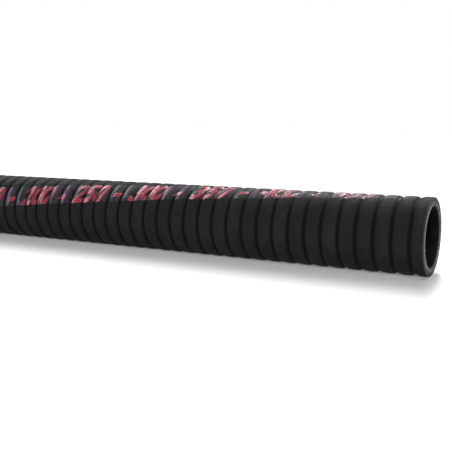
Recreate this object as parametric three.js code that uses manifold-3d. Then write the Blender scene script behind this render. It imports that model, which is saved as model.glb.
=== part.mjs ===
// Corrugated rubber fuel hose: one moulded length with a smooth bore and square cut ends.
// Millimetres, +Z up. The hose lies along X and the origin is the middle of its axis.

import * as THREE from 'three';
import { mergeVertices } from 'three/addons/utils/BufferGeometryUtils.js';
import Module from 'manifold-3d';

const wasm = await Module();
wasm.setup();

// Driving dimensions
const hoseLength = 500;
const boreDiameter = 38;
const wallThickness = 5.5;
const ridgePitch = 11.12;
const grooveWidth = 3.2;
const grooveDepth = 1;
const crownRise = 0.2; // height of a ridge's middle over its shoulders
const lastGrooveToEnd = 8.4; // from the +X cut face to the middle of the last groove
const sectionSides = 24; // a multiple of 4, so that flats face down, up, forward and back

const rubber = { color: 0x242527, roughness: 0.72, metalness: 0 };

// Sizes that follow from them
const boreRadius = boreDiameter / 2;
const crestRadius = boreRadius + wallThickness;
const shoulderRadius = crestRadius - crownRise;
const grooveRadius = crestRadius - grooveDepth;
const sideAngle = (2 * Math.PI) / sectionSides;
const cutFaceX = hoseLength / 2;

// Corner radius of the many-sided section whose flats touch a circle of this radius.
function cornerRadius(radius) {
  return radius / Math.cos(sideAngle / 2);
}

function sectionPoint(x, radius) {
  return new THREE.Vector2(cornerRadius(radius), x);
}

// Middles of the grooves, from the +X end to the last one that is whole at the -X end.
function grooveMiddles() {
  const middles = [];
  let x = cutFaceX - lastGrooveToEnd;
  while (x - grooveWidth / 2 > -cutFaceX) {
    middles.push(x);
    x -= ridgePitch;
  }
  return middles;
}

// Outside of the cover from cut face to cut face: grooves with a shoulder on each side, and
// a crest halfway between two grooves.
function coverProfile() {
  const profile = [sectionPoint(cutFaceX, shoulderRadius)];
  for (const x of grooveMiddles()) {
    const crestX = x + ridgePitch / 2;
    if (crestX < cutFaceX) {
      profile.push(sectionPoint(crestX, crestRadius));
    }
    profile.push(sectionPoint(x + grooveWidth / 2, shoulderRadius));
    profile.push(sectionPoint(x, grooveRadius));
    profile.push(sectionPoint(x - grooveWidth / 2, shoulderRadius));
  }
  profile.push(sectionPoint(-cutFaceX, shoulderRadius));
  return profile;
}

// The wall's section turned around the axis, with flats that face down, up, forward and back.
function hoseGeometry() {
  const profile = coverProfile();
  const bore = [sectionPoint(-cutFaceX, boreRadius), sectionPoint(cutFaceX, boreRadius)];
  const section = [...profile, ...bore, profile[0]].reverse();
  const turned = new THREE.LatheGeometry(section, sectionSides);
  turned.rotateY(sideAngle / 2);
  turned.rotateZ(-Math.PI / 2);
  return turned;
}

function solidFrom(geometry) {
  const positionsOnly = geometry.clone();
  positionsOnly.deleteAttribute('normal');
  positionsOnly.deleteAttribute('uv');
  const merged = mergeVertices(positionsOnly);
  const mesh = new wasm.Mesh({
    numProp: 3,
    vertProperties: Float32Array.from(merged.attributes.position.array),
    triVerts: Uint32Array.from(merged.index.array),
  });
  return new wasm.Manifold(mesh);
}

function geometryFrom(solid) {
  const { vertProperties, triVerts } = solid.getMesh();
  const geometry = new THREE.BufferGeometry();
  geometry.setAttribute('position', new THREE.BufferAttribute(vertProperties, 3));
  geometry.setIndex(new THREE.BufferAttribute(triVerts, 1));
  geometry.computeVertexNormals();
  return geometry;
}

function makeHose() {
  const solid = solidFrom(hoseGeometry());
  const hose = new THREE.Mesh(geometryFrom(solid), new THREE.MeshStandardMaterial(rubber));
  hose.name = 'hose';
  return hose;
}

const part = new THREE.Group();
part.add(makeHose());

export default part;
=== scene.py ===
import math

import bmesh
import bpy
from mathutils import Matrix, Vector, noise


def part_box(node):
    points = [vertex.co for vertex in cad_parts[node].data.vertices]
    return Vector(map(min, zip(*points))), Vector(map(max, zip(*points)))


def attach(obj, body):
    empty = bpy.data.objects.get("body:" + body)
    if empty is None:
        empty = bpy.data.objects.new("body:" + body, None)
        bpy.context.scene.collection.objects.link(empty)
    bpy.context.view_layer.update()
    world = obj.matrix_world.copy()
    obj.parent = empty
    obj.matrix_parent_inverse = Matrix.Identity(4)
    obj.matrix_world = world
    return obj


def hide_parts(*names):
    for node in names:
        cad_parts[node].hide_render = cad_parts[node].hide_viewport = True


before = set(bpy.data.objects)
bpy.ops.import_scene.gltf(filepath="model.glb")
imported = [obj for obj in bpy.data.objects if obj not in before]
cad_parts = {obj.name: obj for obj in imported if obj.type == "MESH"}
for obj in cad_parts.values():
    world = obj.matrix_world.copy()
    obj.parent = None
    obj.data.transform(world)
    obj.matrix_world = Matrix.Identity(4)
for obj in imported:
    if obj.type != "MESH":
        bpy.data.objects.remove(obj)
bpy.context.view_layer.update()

hoseLow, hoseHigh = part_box("hose")
hoseLength = hoseHigh.x - hoseLow.x
crestRadius = (hoseHigh.z - hoseLow.z) / 2
floorHeight = hoseLow.z
fullTurn = 2 * math.pi
turnDegrees = 360

# camera

photoCamera = {
    "place": (0.34545, -0.44043, 0.07193),
    "turn": 28.45,          # degrees to the left of straight across the hose
    "tilt": -8.55,          # degrees, below the horizon
    "lens": 57.40,
    "nearest": 0.01,
    "farthest": 50,
}


def setCamera():
    data = bpy.data.cameras.new("photoCamera")
    data.lens = photoCamera["lens"]
    data.clip_start = photoCamera["nearest"]
    data.clip_end = photoCamera["farthest"]
    camera = bpy.data.objects.new("photoCamera", data)
    camera.location = photoCamera["place"]
    tilt = math.radians(90 + photoCamera["tilt"])
    camera.rotation_euler = (tilt, 0, math.radians(photoCamera["turn"]))
    bpy.context.collection.objects.link(camera)
    bpy.context.scene.camera = camera


setCamera()
print("camera set")

# hose body

hose = {
    "boreRadius": 0.019,
    "pitch": 0.01112,           # from groove to groove
    "lastGroove": 0.0084,       # from the near cut face to the middle of the last groove
    "grooveDepth": 0.0010,
    "grooveSpread": 0.00155,    # half width of a groove, where it is a third as deep
    "grooveSquare": 2.4,        # 2 makes round grooves, more makes them squarer
    "crownRise": 0.0002,
    "skinSlack": 0.00010,       # how far the crests stay inside the frame
    "unevenness": 0.00004,
    "unevenAlong": 70,          # swells for each metre, and around the hose
    "unevenAround": 1.7,
    "edgeRound": 0.00040,       # rounding of the outer cut edge
    "boreRound": 0.00050,
    "roundSteps": 5,
    "faceRecess": 0.00012,
    "columns": 96,
    "halfRidge": (0.0, 0.4, 0.8, 1.2, 1.7, 2.4, 3.4, 4.5),     # mm from a groove, up to the crest
    "stationGap": 0.0002,
    "faceRings": 7,
    "faceWaves": 0.00010,       # the knife leaves the cut face slightly uneven
    "faceWavesPerMetre": 700,
    "boreRings": 36,
}

pitch = hose["pitch"]
columnCount = hose["columns"]
cutX = hoseLength / 2
faceX = cutX - hose["faceRecess"]
grooveX = cutX - hose["lastGroove"]


def coverRadius(x, angle):
    phase = ((x - grooveX) / pitch) % 1
    halfPitch = pitch / 2
    away = min(phase, 1 - phase) * pitch
    crown = hose["crownRise"] * (1 - away / halfPitch) ** 2
    floorDepth = hose["grooveDepth"] - hose["crownRise"]
    groove = floorDepth * math.exp(-((away / hose["grooveSpread"]) ** hose["grooveSquare"]))
    sideways = hose["unevenAround"]
    spot = Vector((x * hose["unevenAlong"], math.cos(angle) * sideways, math.sin(angle) * sideways))
    uneven = hose["unevenness"] * noise.noise(spot)
    return crestRadius - hose["skinSlack"] - crown - groove + uneven


def around(x, radius, angle):
    # angle runs from the front, -Y, over the top
    return Vector((x, -radius * math.cos(angle), radius * math.sin(angle)))


def ridgeStations():
    rising = [step / 1000 for step in hose["halfRidge"]]
    falling = [pitch - step for step in reversed(rising[1:])]
    return rising + [pitch / 2] + falling


def ring(bm, x, radiusAt):
    angles = [fullTurn * column / columnCount for column in range(columnCount)]
    return [bm.verts.new(around(x, radiusAt(angle), angle)) for angle in angles]


def joinRings(bm, loops):
    faces = []
    for first, second in zip(loops, loops[1:]):
        for column in range(columnCount):
            after = (column + 1) % columnCount
            faces.append(bm.faces.new((first[column], first[after], second[after], second[column])))
    return faces


def coverLoops(bm, limitX):
    # from the near end to the far one
    stations = ridgeStations()
    turns = math.ceil(hoseLength / pitch) + 1
    places = [grooveX + turn * pitch + station for turn in range(-turns, 2) for station in stations]
    inside = [x for x in places if abs(x) < limitX - hose["stationGap"]]
    loops = []
    for x in sorted(inside + [-limitX, limitX], reverse=True):
        loops.append(ring(bm, x, lambda angle: coverRadius(x, angle)))
    return loops


def cutFaceRings(bm, side):
    # from the rounded outer edge across the wall to the rounded edge of the bore
    edge, inner = hose["edgeRound"], hose["boreRound"]
    bore = hose["boreRadius"]
    steps = hose["roundSteps"]

    def rimRadius(angle):
        return coverRadius(side * (faceX - edge), angle)

    loops = []
    for step in range(1, steps):
        turn = math.pi / 2 * step / steps
        x = faceX - edge * (1 - math.sin(turn))
        inset = edge * (1 - math.cos(turn))
        loops.append(ring(bm, side * x, lambda angle: rimRadius(angle) - inset))
    for step in range(hose["faceRings"] + 1):
        share = step / hose["faceRings"]

        def radiusAt(angle):
            outer = rimRadius(angle) - edge
            return outer + (bore + inner - outer) * share

        loop = ring(bm, side * faceX, radiusAt)
        for vert in loop:
            vert.co.x += side * hose["faceWaves"] * noise.noise(vert.co * hose["faceWavesPerMetre"])
        loops.append(loop)
    for step in range(1, steps):
        turn = math.pi / 2 * step / steps
        x = faceX - inner * (1 - math.cos(turn))
        radius = bore + inner * (1 - math.sin(turn))
        loops.append(ring(bm, side * x, lambda angle: radius))
    return loops


def boreLoops(bm):
    bore = hose["boreRadius"]
    endX = faceX - hose["boreRound"]
    loops = []
    for step in range(hose["boreRings"] + 1):
        x = endX * math.cos(math.pi * step / hose["boreRings"])        # closer together near the ends
        loops.append(ring(bm, x, lambda angle: bore))
    return loops


def setRidgeMap(bm):
    # u counts ridges, v counts turns around the hose
    layer = bm.loops.layers.uv.new("ridgeMap")
    for face in bm.faces:
        angles = [math.atan2(loop.vert.co.z, -loop.vert.co.y) % fullTurn for loop in face.loops]
        wraps = max(angles) - min(angles) > math.pi
        for loop, angle in zip(face.loops, angles):
            if wraps and angle < math.pi:
                angle += fullTurn
            loop[layer].uv = ((loop.vert.co.x - grooveX) / pitch, angle / fullTurn)


def buildHose():
    bm = bmesh.new()
    outside = coverLoops(bm, faceX - hose["edgeRound"])
    coverFaces = joinRings(bm, outside)
    highLoops = cutFaceRings(bm, 1)
    lowLoops = cutFaceRings(bm, -1)
    bore = boreLoops(bm)
    endFaces = joinRings(bm, [outside[0]] + highLoops) + joinRings(bm, [outside[-1]] + lowLoops)
    boreFaces = joinRings(bm, [highLoops[-1]] + bore + [lowLoops[-1]])
    for group, index in ((coverFaces, 0), (endFaces, 1), (boreFaces, 2)):
        for face in group:
            face.material_index = index
            face.smooth = True
    bmesh.ops.recalc_face_normals(bm, faces=bm.faces)
    setRidgeMap(bm)
    return pieceFrom(bm, "corrugatedHose")


def pieceFrom(bm, name):
    mesh = bpy.data.meshes.new(name)
    bm.to_mesh(mesh)
    bm.free()
    piece = bpy.data.objects.new(name, mesh)
    bpy.context.collection.objects.link(piece)
    return piece


hoseBody = buildHose()
print("hose body built:", len(hoseBody.data.polygons), "faces")

# length marks: a plain number every 5 cm, in a strip that winds slowly over the hose

marks = {
    "first": 50,            # millimetres from the far end
    "last": 450,
    "apart": 50,
    "dash": "-",            # halfway between two numbers
    "angle": 23.0,          # degrees above the front, at the middle of the hose
    "twist": 217.0,         # degrees for each metre
    "stripWidth": 40.0,     # degrees
    "figureHeight": 0.0150,
    "figureWidth": 0.84,    # share of the font's own width
    "bold": 0.034,
    "slant": 0.36,
    "curveSteps": 3,
    "margin": 0.0009,       # from the strip's lower edge to the figures
    "inkHeight": 0.00004,
    "inkDepth": 0.00012,
    "step": 0.0010,
}
fontHeight = 0.69       # of a figure, in the built-in font at size 1


def stripAngle(x):
    return math.radians(marks["angle"] + marks["twist"] * x)


def flatFigure(body):
    curve = bpy.data.curves.new("figure", "FONT")
    curve.body = body
    curve.align_x = "CENTER"
    curve.shear = marks["slant"]
    curve.offset = marks["bold"]
    curve.resolution_u = marks["curveSteps"]
    holder = bpy.data.objects.new("figure", curve)
    mesh = bpy.data.meshes.new_from_object(holder)
    bm = bmesh.new()
    bm.from_mesh(mesh)
    bpy.data.objects.remove(holder)
    bpy.data.curves.remove(curve)
    bpy.data.meshes.remove(mesh)
    scale = marks["figureHeight"] / fontHeight
    bmesh.ops.scale(bm, vec=(scale * marks["figureWidth"], scale, 1), verts=bm.verts)
    return bm


def cutAlong(bm, point, normal):
    everything = bm.verts[:] + bm.edges[:] + bm.faces[:]
    bmesh.ops.bisect_plane(bm, geom=everything, plane_co=point, plane_no=normal)


def cutAtRidges(bm, middleX):
    reach = max(abs(vert.co.x) for vert in bm.verts)
    first = math.floor((middleX - reach - grooveX) / pitch)
    last = math.ceil((middleX + reach - grooveX) / pitch)
    for ridge in range(first, last + 1):
        for station in ridgeStations():
            x = grooveX + ridge * pitch + station
            cutAlong(bm, (x - middleX, 0, 0), (1, 0, 0))


def wrapFigure(bm, middleX):
    cutAtRidges(bm, middleX)
    rowCount = math.ceil(marks["figureHeight"] / marks["step"])
    for row in range(1, rowCount):
        cutAlong(bm, (0, row * marks["step"], 0), (0, 1, 0))
    for vert in bm.verts:
        x = middleX + vert.co.x
        angle = stripAngle(x) + (marks["margin"] + vert.co.y) / crestRadius
        vert.co = around(x, coverRadius(x, angle) + marks["inkHeight"], angle)


def faceOutward(bm):
    # so that all the ink thickens to the same side
    bm.normal_update()
    for face in bm.faces:
        middle = face.calc_center_median()
        if face.normal.y * middle.y + face.normal.z * middle.z < 0:
            face.normal_flip()


def sortByPlace(elements, placeOf):
    # thickening leaves the points and faces in another order on every run
    for rank, element in enumerate(sorted(elements, key=placeOf)):
        element.index = rank
    elements.sort()
    elements.index_update()


def printMarks():
    whole = bmesh.new()
    places = []
    for number in range(marks["first"], marks["last"] + 1, marks["apart"]):
        x = hoseLow.x + number / 1000
        places.append((str(number), x))
        if number < marks["last"]:
            places.append((marks["dash"], x + marks["apart"] / 1000 / 2))
    for body, x in places:
        figure = flatFigure(body)
        wrapFigure(figure, x)
        mesh = bpy.data.meshes.new("figure")
        figure.to_mesh(mesh)
        figure.free()
        whole.from_mesh(mesh)
        bpy.data.meshes.remove(mesh)
    faceOutward(whole)
    bmesh.ops.solidify(whole, geom=whole.faces[:], thickness=marks["inkDepth"])      # down into the rubber
    bmesh.ops.recalc_face_normals(whole, faces=whole.faces)
    sortByPlace(whole.verts, lambda vert: tuple(vert.co))
    sortByPlace(whole.faces, lambda face: tuple(face.calc_center_median()))
    setRidgeMap(whole)
    return pieceFrom(whole, "lengthMarks")


lengthMarks = printMarks()
print("length marks printed:", len(lengthMarks.data.polygons), "faces")

# finishes


def shaderTree(name):
    material = bpy.data.materials.new(name)
    material.use_nodes = True
    tree = material.node_tree
    return material, tree, tree.nodes["Principled BSDF"]


def addNode(tree, kind, inputs=None, **settings):
    node = tree.nodes.new(kind)
    for key, value in settings.items():
        setattr(node, key, value)
    for key, value in (inputs or {}).items():
        if isinstance(value, bpy.types.NodeSocket):
            tree.links.new(value, node.inputs[key])
        else:
            node.inputs[key].default_value = value
    return node


def calculate(tree, operation, first, second=0.0, third=0.0):
    inputs = {0: first, 1: second, 2: third}
    return addNode(tree, "ShaderNodeMath", inputs, operation=operation).outputs[0]


def rescale(tree, value, low, high, newLow=0.0, newHigh=1.0):
    inputs = {"Value": value, "From Min": low, "From Max": high, "To Min": newLow, "To Max": newHigh}
    node = addNode(tree, "ShaderNodeMapRange", inputs, interpolation_type="SMOOTHSTEP")
    return node.outputs["Result"]


def placeOnObject(tree):
    return addNode(tree, "ShaderNodeTexCoord").outputs["Object"]


def objectAxes(tree):
    return addNode(tree, "ShaderNodeSeparateXYZ", {0: placeOnObject(tree)}).outputs


def noiseAt(tree, perMetre, detail, roughness=0.55):
    # perMetre counts the features along X, Y and Z
    inputs = {"Vector": placeOnObject(tree), "Scale": perMetre}
    mapped = addNode(tree, "ShaderNodeMapping", inputs).outputs["Vector"]
    inputs = {"Vector": mapped, "Scale": 1.0, "Detail": detail, "Roughness": roughness}
    return addNode(tree, "ShaderNodeTexNoise", inputs).outputs["Fac"]


def mixColour(tree, factor, first, second):
    inputs = {"Factor": factor, 6: first, 7: second}
    return addNode(tree, "ShaderNodeMix", inputs, data_type="RGBA").outputs[2]


def bump(tree, height, distance, normal=None):
    inputs = {"Height": height, "Distance": distance}
    if normal is not None:
        inputs["Normal"] = normal
    return addNode(tree, "ShaderNodeBump", inputs).outputs["Normal"]


def ridgeAxes(tree):
    # ridges counted along the hose, and turns counted around it
    where = addNode(tree, "ShaderNodeUVMap", uv_map="ridgeMap").outputs["UV"]
    split = addNode(tree, "ShaderNodeSeparateXYZ", {0: where})
    return split.outputs["X"], split.outputs["Y"]


def awayFromGroove(tree, ridges):
    # 0 in the middle of a groove, 0.5 on the crest between two
    phase = calculate(tree, "FRACT", ridges)
    return calculate(tree, "MINIMUM", phase, calculate(tree, "SUBTRACT", 1.0, phase))


shoulder = {
    "start": (0.06, 0.16),      # shares of a ridge, counted from its groove
    "end": (0.28, 0.58),
}


def shoulderMask(tree, ridges):
    # 1 on the shoulder that rises from a groove towards the near end, where highlights are painted
    phase = calculate(tree, "FRACT", ridges)
    rising = rescale(tree, phase, *shoulder["start"])
    return calculate(tree, "MULTIPLY", rising, rescale(tree, phase, *shoulder["end"], 1.0, 0.0))


cover = {
    "crestColour": (0.0198, 0.0200, 0.0212, 1),
    # painted shade: the grooves are coloured darker than the crests
    "paintedGrooveShade": (0.0058, 0.0060, 0.0066, 1),
    "bloomColour": (0.0320, 0.0325, 0.0350, 1),     # faint grey bloom and scuffs
    "highlightColour": (0.1500, 0.1850, 0.1850, 1),      # painted highlight on the ridge shoulders within the marked strip
    "highlightTint": (0.2400, 0.1700, 0.2500, 1),
    "highlightOnCrest": 0.16,
    "highlightWhereRubbed": 0.10,
    "bloomShare": 0.55,
    "rubShare": 0.5,
    "patches": {"perMetre": (55, 40, 40), "detail": 4.0},
    "scuffs": {"perMetre": (420, 130, 130), "detail": 5.0, "roughness": 0.65},
    "streaks": {"perMetre": (900, 45, 45), "detail": 3.0},
    "grain": {"perMetre": (2600, 2600, 2600), "detail": 2.0},
    "highlightHues": {"perMetre": (60, 90, 90), "detail": 1.0},
    "grooveShade": (0.02, 0.20),        # share of a ridge over which the painted groove shade fades, from the groove's middle to its edge
    "bloomRange": (0.42, 0.72),         # ranges of the noise that count
    "rubRange": (0.56, 0.74),
    "highlightRange": (0.38, 0.60),
    "hueRange": (0.42, 0.58),
    "glossRange": (0.35, 0.7),
    "roughness": (0.58, 0.78),
    "specular": 0.06,
    "stripGloss": 0.12,         # how much smoother the strip under the marks is
    "stripEdge": 0.004,         # turns over which the strip's edge fades
    "stripFade": (0.020, 0.008),        # metres from the near cut, where the strip is rubbed off
    "weavesPerRidge": 14,       # threads of the wrapping cloth's print, along the hose
    "weavesAround": 200,
    "weaveDepth": 0.00004,
    "grainDepth": 0.00003,
    "streakDepth": 0.00006,
}


def stripMask(tree, turns):
    # 1 in the smooth strip under the marks, where the marking tape lay; rubbed off at the near end
    x = objectAxes(tree)["X"]
    twist, start = marks["twist"] / turnDegrees, marks["angle"] / turnDegrees
    lower = calculate(tree, "MULTIPLY_ADD", x, twist, start)
    above = calculate(tree, "FRACT", calculate(tree, "SUBTRACT", turns, lower))
    width = marks["stripWidth"] / turnDegrees
    edge = cover["stripEdge"]
    fadeStart, fadeEnd = cover["stripFade"]
    inside = rescale(tree, above, 0.0, edge)
    kept = rescale(tree, x, cutX - fadeStart, cutX - fadeEnd, 1.0, 0.0)
    inside = calculate(tree, "MULTIPLY", inside, kept)
    return calculate(tree, "MULTIPLY", inside, rescale(tree, above, width - edge, width, 1.0, 0.0))


def clothImpression(tree, ridges, turns):
    along = calculate(tree, "MULTIPLY", ridges, fullTurn * cover["weavesPerRidge"])
    across = calculate(tree, "MULTIPLY", turns, fullTurn * cover["weavesAround"])
    threads = calculate(tree, "MULTIPLY", calculate(tree, "SINE", along), calculate(tree, "SINE", across))
    return rescale(tree, threads, -1.0, 1.0)


def coverRubber():
    material, tree, shader = shaderTree("blackCoverRubber")
    ridges, turns = ridgeAxes(tree)
    away = awayFromGroove(tree, ridges)
    rise = rescale(tree, away, *cover["grooveShade"])
    patches = noiseAt(tree, **cover["patches"])
    scuffs = noiseAt(tree, **cover["scuffs"])
    streaks = noiseAt(tree, **cover["streaks"])
    grain = noiseAt(tree, **cover["grain"])

    # painted shade: the colour darkens towards the middle of each groove
    body = mixColour(tree, rise, cover["paintedGrooveShade"], cover["crestColour"])
    bloom = calculate(tree, "MULTIPLY", rescale(tree, patches, *cover["bloomRange"]), rise)
    bloom = calculate(tree, "MULTIPLY", bloom, cover["bloomShare"])
    body = mixColour(tree, bloom, body, cover["bloomColour"])
    rubs = calculate(tree, "MULTIPLY", rescale(tree, scuffs, *cover["rubRange"]), rise)
    rubs = calculate(tree, "MULTIPLY", rubs, cover["rubShare"])
    body = mixColour(tree, rubs, body, cover["bloomColour"])
    strip = stripMask(tree, turns)
    # painted highlight: pale colour on the ridge shoulders and crests within the strip, thinner where
    # rubbed
    onRidge = calculate(tree, "MAXIMUM", shoulderMask(tree, ridges), cover["highlightOnCrest"])
    highlight = calculate(tree, "MULTIPLY", strip, calculate(tree, "MULTIPLY", onRidge, rise))
    unrubbed = rescale(tree, scuffs, *cover["highlightRange"], cover["highlightWhereRubbed"], 1.0)
    highlight = calculate(tree, "MULTIPLY", highlight, unrubbed)
    hue = rescale(tree, noiseAt(tree, **cover["highlightHues"]), *cover["hueRange"])
    highlightColour = mixColour(tree, hue, cover["highlightColour"], cover["highlightTint"])
    body = mixColour(tree, highlight, body, highlightColour)
    tree.links.new(body, shader.inputs["Base Color"])

    smooth, rough = cover["roughness"]
    gloss = rescale(tree, scuffs, *cover["glossRange"], smooth, rough)
    gloss = calculate(tree, "MULTIPLY_ADD", strip, -cover["stripGloss"], gloss)
    tree.links.new(gloss, shader.inputs["Roughness"])
    shader.inputs["Specular IOR Level"].default_value = cover["specular"]

    cloth = clothImpression(tree, ridges, turns)
    pressed = calculate(tree, "MULTIPLY", cloth, calculate(tree, "SUBTRACT", 1.0, strip))
    relief = bump(tree, pressed, cover["weaveDepth"])
    relief = bump(tree, streaks, cover["streakDepth"], normal=relief)
    relief = bump(tree, grain, cover["grainDepth"], normal=relief)
    tree.links.new(relief, shader.inputs["Normal"])
    return material


cutFace = {
    "colour": (0.022, 0.023, 0.024, 1),
    "smearColour": (0.045, 0.047, 0.049, 1),
    "lipHighlightColour": (0.290, 0.340, 0.315, 1),      # painted highlight: a pale crescent at the bore's lip
    "lipHighlightTint": (0.340, 0.315, 0.355, 1),
    "lipRadius": 0.0208,
    "lipBlend": 0.0006,
    "lipUnderSmears": 0.45,
    "lipHighlightFarSide": 0.12,         # the painted highlight is fainter on the hose's far side
    "lipSides": (-0.016, 0.006),        # from here to there, across the face
    "tintHeights": (-0.014, 0.004),     # the tint is full at the first height
    "plyColour": (0.55, 0.53, 0.42, 1),
    "plyRadius": 0.0213,
    "plyWidth": 0.00080,
    "plyCore": 0.4,             # share of the width where the threads are full
    "plyShare": 0.8,
    "plyRelief": 0.00012,
    "yarns": {"perMetre": (300, 700, 700), "detail": 1.5},
    "smears": {"perMetre": (200, 900, 120), "detail": 4.0},
    "yarnRange": (0.50, 0.60),
    "smearRange": (0.4, 0.75),
    "lipRange": (0.25, 0.65),
    "roughness": 0.7,
    "specular": 0.35,
    "knifeDepth": 0.00006,
}


def cutFaceRubber():
    material, tree, shader = shaderTree("cutRubber")
    axes = objectAxes(tree)
    squares = [calculate(tree, "MULTIPLY", axes[name], axes[name]) for name in "YZ"]
    radius = calculate(tree, "SQRT", calculate(tree, "ADD", squares[0], squares[1]))
    fromPly = calculate(tree, "ABSOLUTE", calculate(tree, "SUBTRACT", radius, cutFace["plyRadius"]))
    plyWidth = cutFace["plyWidth"]
    onPly = rescale(tree, fromPly, plyWidth * cutFace["plyCore"], plyWidth, 1.0, 0.0)
    yarns = rescale(tree, noiseAt(tree, **cutFace["yarns"]), *cutFace["yarnRange"])
    threads = calculate(tree, "MULTIPLY", onPly, yarns)
    smears = noiseAt(tree, **cutFace["smears"])

    smeared = rescale(tree, smears, *cutFace["smearRange"])
    body = mixColour(tree, smeared, cutFace["colour"], cutFace["smearColour"])
    # painted highlight: a pale crescent at the bore's lip, brightest on the near side and tinted by height
    lowDown = rescale(tree, axes["Z"], *cutFace["tintHeights"], 1.0, 0.0)
    lip = mixColour(tree, lowDown, cutFace["lipHighlightColour"], cutFace["lipHighlightTint"])
    lipEdge = cutFace["lipRadius"]
    lipBlend = cutFace["lipBlend"]
    lipHighlight = rescale(tree, radius, lipEdge - lipBlend, lipEdge + lipBlend, 1.0, 0.0)
    clear = rescale(tree, smears, *cutFace["lipRange"], cutFace["lipUnderSmears"], 1.0)
    lipHighlight = calculate(tree, "MULTIPLY", lipHighlight, clear)
    nearSide = rescale(tree, axes["Y"], *cutFace["lipSides"], 1.0, cutFace["lipHighlightFarSide"])
    lipHighlight = calculate(tree, "MULTIPLY", lipHighlight, nearSide)
    body = mixColour(tree, lipHighlight, body, lip)
    shown = calculate(tree, "MULTIPLY", threads, cutFace["plyShare"])
    body = mixColour(tree, shown, body, cutFace["plyColour"])
    tree.links.new(body, shader.inputs["Base Color"])
    shader.inputs["Roughness"].default_value = cutFace["roughness"]
    shader.inputs["Specular IOR Level"].default_value = cutFace["specular"]
    relief = bump(tree, smears, cutFace["knifeDepth"])
    relief = bump(tree, threads, cutFace["plyRelief"], normal=relief)
    tree.links.new(relief, shader.inputs["Normal"])
    return material


liner = {
    "colour": (0.0035, 0.0040, 0.0036, 1),
    "paleColour": (0.0080, 0.0088, 0.0082, 1),
    "roughness": (0.42, 0.58),
    "specular": 0.22,
    "ripple": 0.00005,
    "rings": {"perMetre": (260, 12, 12), "detail": 3.0},
    "clouds": {"perMetre": (90, 90, 90), "detail": 4.0},
    "paleRange": (0.35, 0.7),
    "glossRange": (0.3, 0.7),
}


def boreRubber():
    material, tree, shader = shaderTree("boreRubber")
    rings = noiseAt(tree, **liner["rings"])
    clouds = noiseAt(tree, **liner["clouds"])
    pale = rescale(tree, clouds, *liner["paleRange"])
    body = mixColour(tree, pale, liner["colour"], liner["paleColour"])
    tree.links.new(body, shader.inputs["Base Color"])
    smooth, rough = liner["roughness"]
    gloss = rescale(tree, clouds, *liner["glossRange"], smooth, rough)
    tree.links.new(gloss, shader.inputs["Roughness"])
    shader.inputs["Specular IOR Level"].default_value = liner["specular"]
    tree.links.new(bump(tree, rings, liner["ripple"]), shader.inputs["Normal"])
    return material


ink = {
    "colour": (0.42, 0.036, 0.066, 1),
    # painted highlight: the ink is paler and pinker on the ridge shoulders
    "paleColour": (0.86, 0.34, 0.42, 1),
    # painted shade: the ink is coloured darker in the grooves
    "paintedGrooveShade": (0.050, 0.010, 0.016, 1),
    "wornColour": (0.075, 0.042, 0.056, 1),
    "grooveShare": 0.9,
    "grooveShade": (0.02, 0.14),        # share of a ridge over which the painted groove shade fades, from the groove's middle to its edge
    "rubs": {"perMetre": (500, 700, 700), "detail": 5.0, "roughness": 0.7},
    "clouds": {"perMetre": (150, 150, 150), "detail": 2.0},
    "paleRange": (0.28, 0.55),
    "rubRange": (0.49, 0.64),
    "wearRange": (0.06, 0.22),          # metres along the hose, more worn from here to there
    "wear": 0.10,
    "roughness": 0.42,
    "specular": 0.3,
}


def redInk():
    material, tree, shader = shaderTree("redMarkingInk")
    ridges, turns = ridgeAxes(tree)
    away = awayFromGroove(tree, ridges)
    clouds = rescale(tree, noiseAt(tree, **ink["clouds"]), *ink["paleRange"])
    # painted highlight: paler ink on the shoulder that rises from each groove
    pale = calculate(tree, "MULTIPLY", shoulderMask(tree, ridges), clouds)
    body = mixColour(tree, pale, ink["colour"], ink["paleColour"])
    wear = rescale(tree, objectAxes(tree)["X"], *ink["wearRange"], 0.0, ink["wear"])
    rubbed = calculate(tree, "ADD", noiseAt(tree, **ink["rubs"]), wear)
    body = mixColour(tree, rescale(tree, rubbed, *ink["rubRange"]), body, ink["wornColour"])
    # painted shade: the ink darkens towards the middle of each groove
    inGroove = rescale(tree, away, *ink["grooveShade"], ink["grooveShare"], 0.0)
    body = mixColour(tree, inGroove, body, ink["paintedGrooveShade"])
    tree.links.new(body, shader.inputs["Base Color"])
    shader.inputs["Roughness"].default_value = ink["roughness"]
    shader.inputs["Specular IOR Level"].default_value = ink["specular"]
    return material


for finish in (coverRubber(), cutFaceRubber(), boreRubber()):
    hoseBody.data.materials.append(finish)
lengthMarks.data.materials.append(redInk())
print("finishes made")

# stage and light

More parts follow.
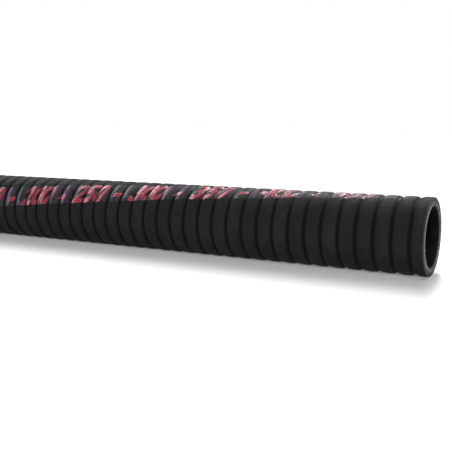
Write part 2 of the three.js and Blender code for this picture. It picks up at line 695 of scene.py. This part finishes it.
stage = {
    "floorSize": 12.0,
    "floorColour": (0.80, 0.80, 0.80, 1),
    "floorRoughness": 0.9,
    "floorSpecular": 0.1,
    "floorGlow": 0.10,          # painted light: the paper glows, lifting the shadow
    "contactReach": 0.0006,     # the glow dies where the hose comes this close to the paper
    "shadowLift": 0.22,         # more glow in the deep shade beside the hose, none where they touch
    "shadowReach": 0.020,
    "shadowStart": (0.02, 0.07),        # share of open sky where the lift begins, and where it ends
    "shadowEnd": (0.12, 0.34),
    "contactRays": 8,
    "shadowRays": 16,
    "farGlow": 0.22,            # the paper runs out to white well away from the hose
    "farReach": (0.8, 1.6),     # metres, where that begins and where it is full
    "backdrop": (1.0, 1.0, 1.0, 1),
    "roomLight": 0.12,
    "sweepLight": 0.50,         # the pale backdrop that curves up behind the hose
    "sweepBehind": (0.05, 0.70),        # it begins this far round to the back, and is full there
    "sweepHeight": (0.10, 0.60),        # it is full below the first height and ends at the second
    "keyStrength": 2.3,         # the key is an upright bar of lamps, each one an elevation and a share
    "keyBar": ((37, 0.14), (44, 0.26), (51, 0.22), (58, 0.15), (66, 0.11), (76, 0.08), (88, 0.04)),
    "keyAngle": 7,              # degrees across each lamp
    "keyBearing": -13,          # degrees to the right of straight behind the hose
    "sideBox": {"place": (-1.00, 0.50, 0.70), "size": 0.6, "power": 7},
    "frontBox": {"place": (0.60, -0.90, 1.20), "size": 0.9, "power": 11},
}


def skyOver(tree, reach, rays):
    # share of the sky that nothing within reach hides
    inputs = {"Distance": reach}
    return addNode(tree, "ShaderNodeAmbientOcclusion", inputs, samples=rays).outputs["AO"]


def layFloor():
    half = stage["floorSize"] / 2
    bm = bmesh.new()
    corners = [(-half, -half), (half, -half), (half, half), (-half, half)]
    bm.faces.new([bm.verts.new((x, y, floorHeight)) for x, y in corners])
    floor = pieceFrom(bm, "paleFloor")
    material, tree, shader = shaderTree("palePaper")
    shader.inputs["Base Color"].default_value = stage["floorColour"]
    shader.inputs["Roughness"].default_value = stage["floorRoughness"]
    shader.inputs["Specular IOR Level"].default_value = stage["floorSpecular"]
    shader.inputs["Emission Color"].default_value = (1, 1, 1, 1)
    # painted light: the paper glows, more in the shade beside the hose and not where the hose touches it
    openSky = skyOver(tree, stage["contactReach"], stage["contactRays"])
    glow = calculate(tree, "MULTIPLY", openSky, stage["floorGlow"])
    shade = skyOver(tree, stage["shadowReach"], stage["shadowRays"])
    lift = rescale(tree, shade, *stage["shadowStart"], 0.0, stage["shadowLift"])
    lift = calculate(tree, "MULTIPLY", lift, rescale(tree, shade, *stage["shadowEnd"], 1.0, 0.0))
    glow = calculate(tree, "ADD", glow, lift)
    place = placeOnObject(tree)
    distance = addNode(tree, "ShaderNodeVectorMath", {0: place}, operation="LENGTH").outputs["Value"]
    farOff = rescale(tree, distance, *stage["farReach"], 0.0, stage["farGlow"])
    tree.links.new(calculate(tree, "ADD", glow, farOff), shader.inputs["Emission Strength"])
    floor.data.materials.append(material)


def paperWorld():
    # plain white to the eye; the room's light is dim, and brighter low down behind the hose
    world = bpy.data.worlds.new("studio")
    bpy.context.scene.world = world
    world.use_nodes = True
    tree = world.node_tree
    tree.nodes.clear()
    direction = addNode(tree, "ShaderNodeTexCoord").outputs["Generated"]
    split = addNode(tree, "ShaderNodeSeparateXYZ", {0: direction})
    behind = rescale(tree, split.outputs["Y"], *stage["sweepBehind"])
    low = rescale(tree, split.outputs["Z"], *stage["sweepHeight"], 1.0, 0.0)
    sweep = calculate(tree, "MULTIPLY", behind, low)
    strength = calculate(tree, "MULTIPLY_ADD", sweep, stage["sweepLight"], stage["roomLight"])
    room = addNode(tree, "ShaderNodeBackground", {"Color": (1, 1, 1, 1), "Strength": strength})
    paper = addNode(tree, "ShaderNodeBackground", {"Color": stage["backdrop"]})
    seen = addNode(tree, "ShaderNodeLightPath").outputs["Is Camera Ray"]
    mix = addNode(tree, "ShaderNodeMixShader", {0: seen, 1: room.outputs[0], 2: paper.outputs[0]})
    addNode(tree, "ShaderNodeOutputWorld", {"Surface": mix.outputs[0]})


def keyLight(elevation, share):
    # a share counts on the floor, so a lower lamp is stronger
    lamp = bpy.data.lights.new("keyLight", "SUN")
    lamp.energy = stage["keyStrength"] * share / math.sin(math.radians(elevation))
    lamp.angle = math.radians(stage["keyAngle"])
    key = bpy.data.objects.new("keyLight", lamp)
    tilt = math.radians(90 - elevation)
    bearing = math.radians(180 - stage["keyBearing"])
    key.rotation_euler = (tilt, 0, bearing)
    bpy.context.collection.objects.link(key)


def softBox(name):
    lamp = bpy.data.lights.new(name, "AREA")
    lamp.size = stage[name]["size"]
    lamp.energy = stage[name]["power"]
    box = bpy.data.objects.new(name, lamp)
    box.location = stage[name]["place"]
    box.rotation_euler = (-box.location).to_track_quat("-Z", "Y").to_euler()
    bpy.context.collection.objects.link(box)


layFloor()
paperWorld()
for elevation, share in stage["keyBar"]:
    keyLight(elevation, share)
softBox("sideBox")
softBox("frontBox")
bpy.context.scene.view_settings.view_transform = "Standard"
print("floor and light set")

# frame

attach(hoseBody, "root")
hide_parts("hose")
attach(lengthMarks, "root")
